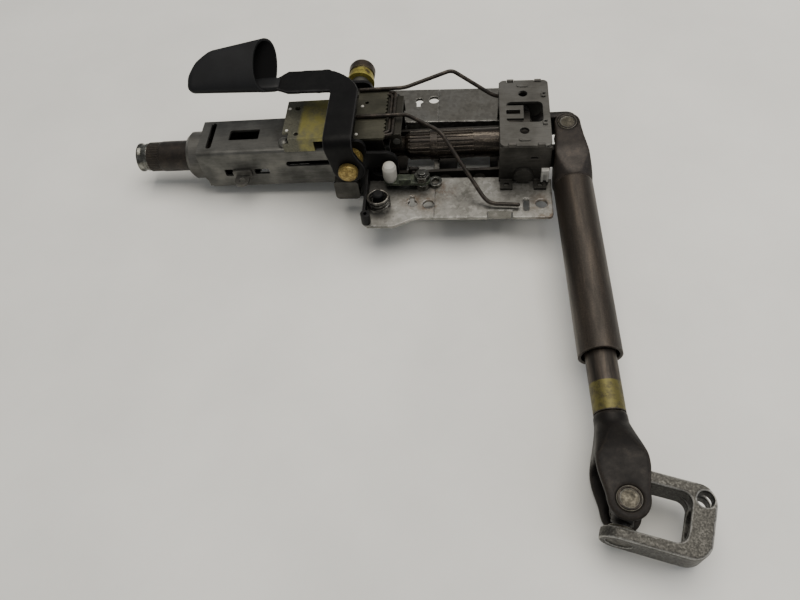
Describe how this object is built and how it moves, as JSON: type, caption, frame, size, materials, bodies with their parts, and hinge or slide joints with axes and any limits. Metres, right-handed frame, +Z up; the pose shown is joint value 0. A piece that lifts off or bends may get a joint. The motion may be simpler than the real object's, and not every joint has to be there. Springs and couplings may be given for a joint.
{
  "type": "steering column",
  "caption": "Adjustable steering column with clamp lever, splined wheel end, mounting wings and a folding intermediate shaft with universal joints and a pinion clamp fork.",
  "frame": {"origin": "centre of the four bracket bolts, on the wings' underside", "axes": "+X along the column from the wheel end to the upper universal joint, +Y across the column, away from the folded intermediate shaft, +Z up out of the mounting face"},
  "size_m": [0.4031, 0.3768, 0.1025],
  "materials": {
    "galvanised": "galvanised sheet, satin",
    "zinc_sheet": "zinc plated sheet",
    "black_steel": "black coated steel",
    "brown_steel": "phosphated, oiled",
    "forged_steel": "bare forging, shot blasted",
    "bright_steel": "turned bright",
    "yellow_zinc": "yellow chromate",
    "gold_zinc": "gold chromate",
    "spring_steel": "oil hardened wire",
    "charcoal_plastic": "grained",
    "white_plastic": "moulded",
    "green_zinc": "olive chromate",
    "dull_nylon": "moulded slide pad"
  },
  "bodies": {
    "bracket": {"mounting_bracket": "galvanised", "front_cheek": "black_steel", "rear_cheek": "black_steel", "front_gusset": "black_steel", "support_block": "galvanised", "box_frame": "zinc_sheet", "box_cover": "zinc_sheet", "box_clip": "white_plastic", "pivot_pins": "forged_steel", "spring_post": "black_steel", "coil_spring": "spring_steel", "pawl_stud": "forged_steel", "pawl_tab": "brown_steel"},
    "pawl": {"pawl_lever": "green_zinc", "buffer_cap": "white_plastic"},
    "guide": {"guide_channel": "zinc_sheet", "slide_pads": "dull_nylon", "lower_bearing_outer": "bright_steel", "lower_bearing_balls": "bright_steel", "bearing_ring": "black_steel", "clamp_bolt": "gold_zinc", "clamp_spacers": "zinc_sheet", "fixed_cam": "gold_zinc", "clamp_nut": "gold_zinc", "spring_bridge": "zinc_sheet", "rear_spring_wire": "spring_steel", "front_spring_wire": "spring_steel"},
    "lever": {"lever_strap": "black_steel", "moving_cam": "gold_zinc", "lever_paddle": "charcoal_plastic"},
    "upper_jacket": {"upper_housing": "zinc_sheet", "lock_hat": "yellow_zinc", "bearing_collar": "zinc_sheet", "upper_bearing_outer": "bright_steel", "upper_bearing_balls": "bright_steel", "shaft_bush": "dull_nylon", "cross_rod": "zinc_sheet", "housing_ear": "zinc_sheet", "stop_buffer": "zinc_sheet"},
    "wheel_end": {"wheel_shaft": "brown_steel", "end_ring": "bright_steel", "upper_bearing_inner": "bright_steel"},
    "lower_shaft": {"ribbed_shaft": "brown_steel", "slip_ring": "yellow_zinc", "lower_bearing_inner": "bright_steel", "column_fork": "brown_steel", "column_cups": "brown_steel"},
    "upper_joint": {"upper_cross": "brown_steel"},
    "tube": {"tube_fork": "brown_steel", "tube_cups": "brown_steel", "outer_tube": "brown_steel", "slider_sleeve": "dull_nylon"},
    "inner": {"inner_shaft": "brown_steel", "lower_yoke": "brown_steel", "yoke_cups": "forged_steel"},
    "lower_joint": {"lower_cross": "brown_steel"},
    "pinion_fork": {"clamp_fork": "forged_steel", "clamp_cups": "forged_steel"}
  },
  "joints": [
    {"name": "rake_tilt", "type": "hinge", "parent": "bracket", "child": "guide", "pos_m": [0.028, 0, 0.0096], "axis": [0, 1, 0], "range_deg": [-3, 2.5]},
    {"name": "pawl_turn", "type": "hinge", "parent": "bracket", "child": "pawl", "pos_m": [-0.046, -0.0394, 0.009], "axis": [0, 0, 1], "range_deg": [0, 12]},
    {"name": "lever_swing", "type": "hinge", "parent": "guide", "child": "lever", "pos_m": [-0.098, 0, 0.02798], "axis": [0, 1, 0], "range_deg": [0, 38]},
    {"name": "reach_slide", "type": "slide", "parent": "guide", "child": "upper_jacket", "axis": [0.9993, 0, 0.0384], "range_m": [-0.024, 0.024]},
    {"name": "wheel_turn", "type": "hinge", "parent": "upper_jacket", "child": "wheel_end", "pos_m": [-0.25179, 0, -0.00115], "axis": [0.9993, 0, 0.0384], "continuous": true},
    {"name": "shaft_turn", "type": "hinge", "parent": "guide", "child": "lower_shaft", "pos_m": [0.028, 0, 0.0096], "axis": [0.9993, 0, 0.0384], "continuous": true},
    {"name": "upper_cross_tilt", "type": "hinge", "parent": "lower_shaft", "child": "upper_joint", "pos_m": [0.06098, 0, 0.01087], "axis": [-0.0027, 0.9976, 0.0697], "range_deg": [-6, 6]},
    {"name": "tube_fold", "type": "hinge", "parent": "upper_joint", "child": "tube", "pos_m": [0.06098, 0, 0.01087], "axis": [-0.0383, -0.0698, 0.9968], "range_deg": [0, 95]},
    {"name": "tube_slide", "type": "slide", "parent": "tube", "child": "inner", "axis": [0.0585, -0.996, -0.0675], "range_m": [-0.03, 0.025]},
    {"name": "lower_fold", "type": "hinge", "parent": "inner", "child": "lower_joint", "pos_m": [0.07717, -0.27589, -0.00782], "axis": [-0.0383, -0.0698, 0.9968], "range_deg": [-80, 8]},
    {"name": "fork_tilt", "type": "hinge", "parent": "lower_joint", "child": "pinion_fork", "pos_m": [0.07717, -0.27589, -0.00782], "axis": [0.256, 0.9636, 0.0773], "range_deg": [-8, 8]}
  ],
  "couplings": [
    {"joint": "wheel_turn", "follows": "shaft_turn", "ratio": 1}
  ]
}
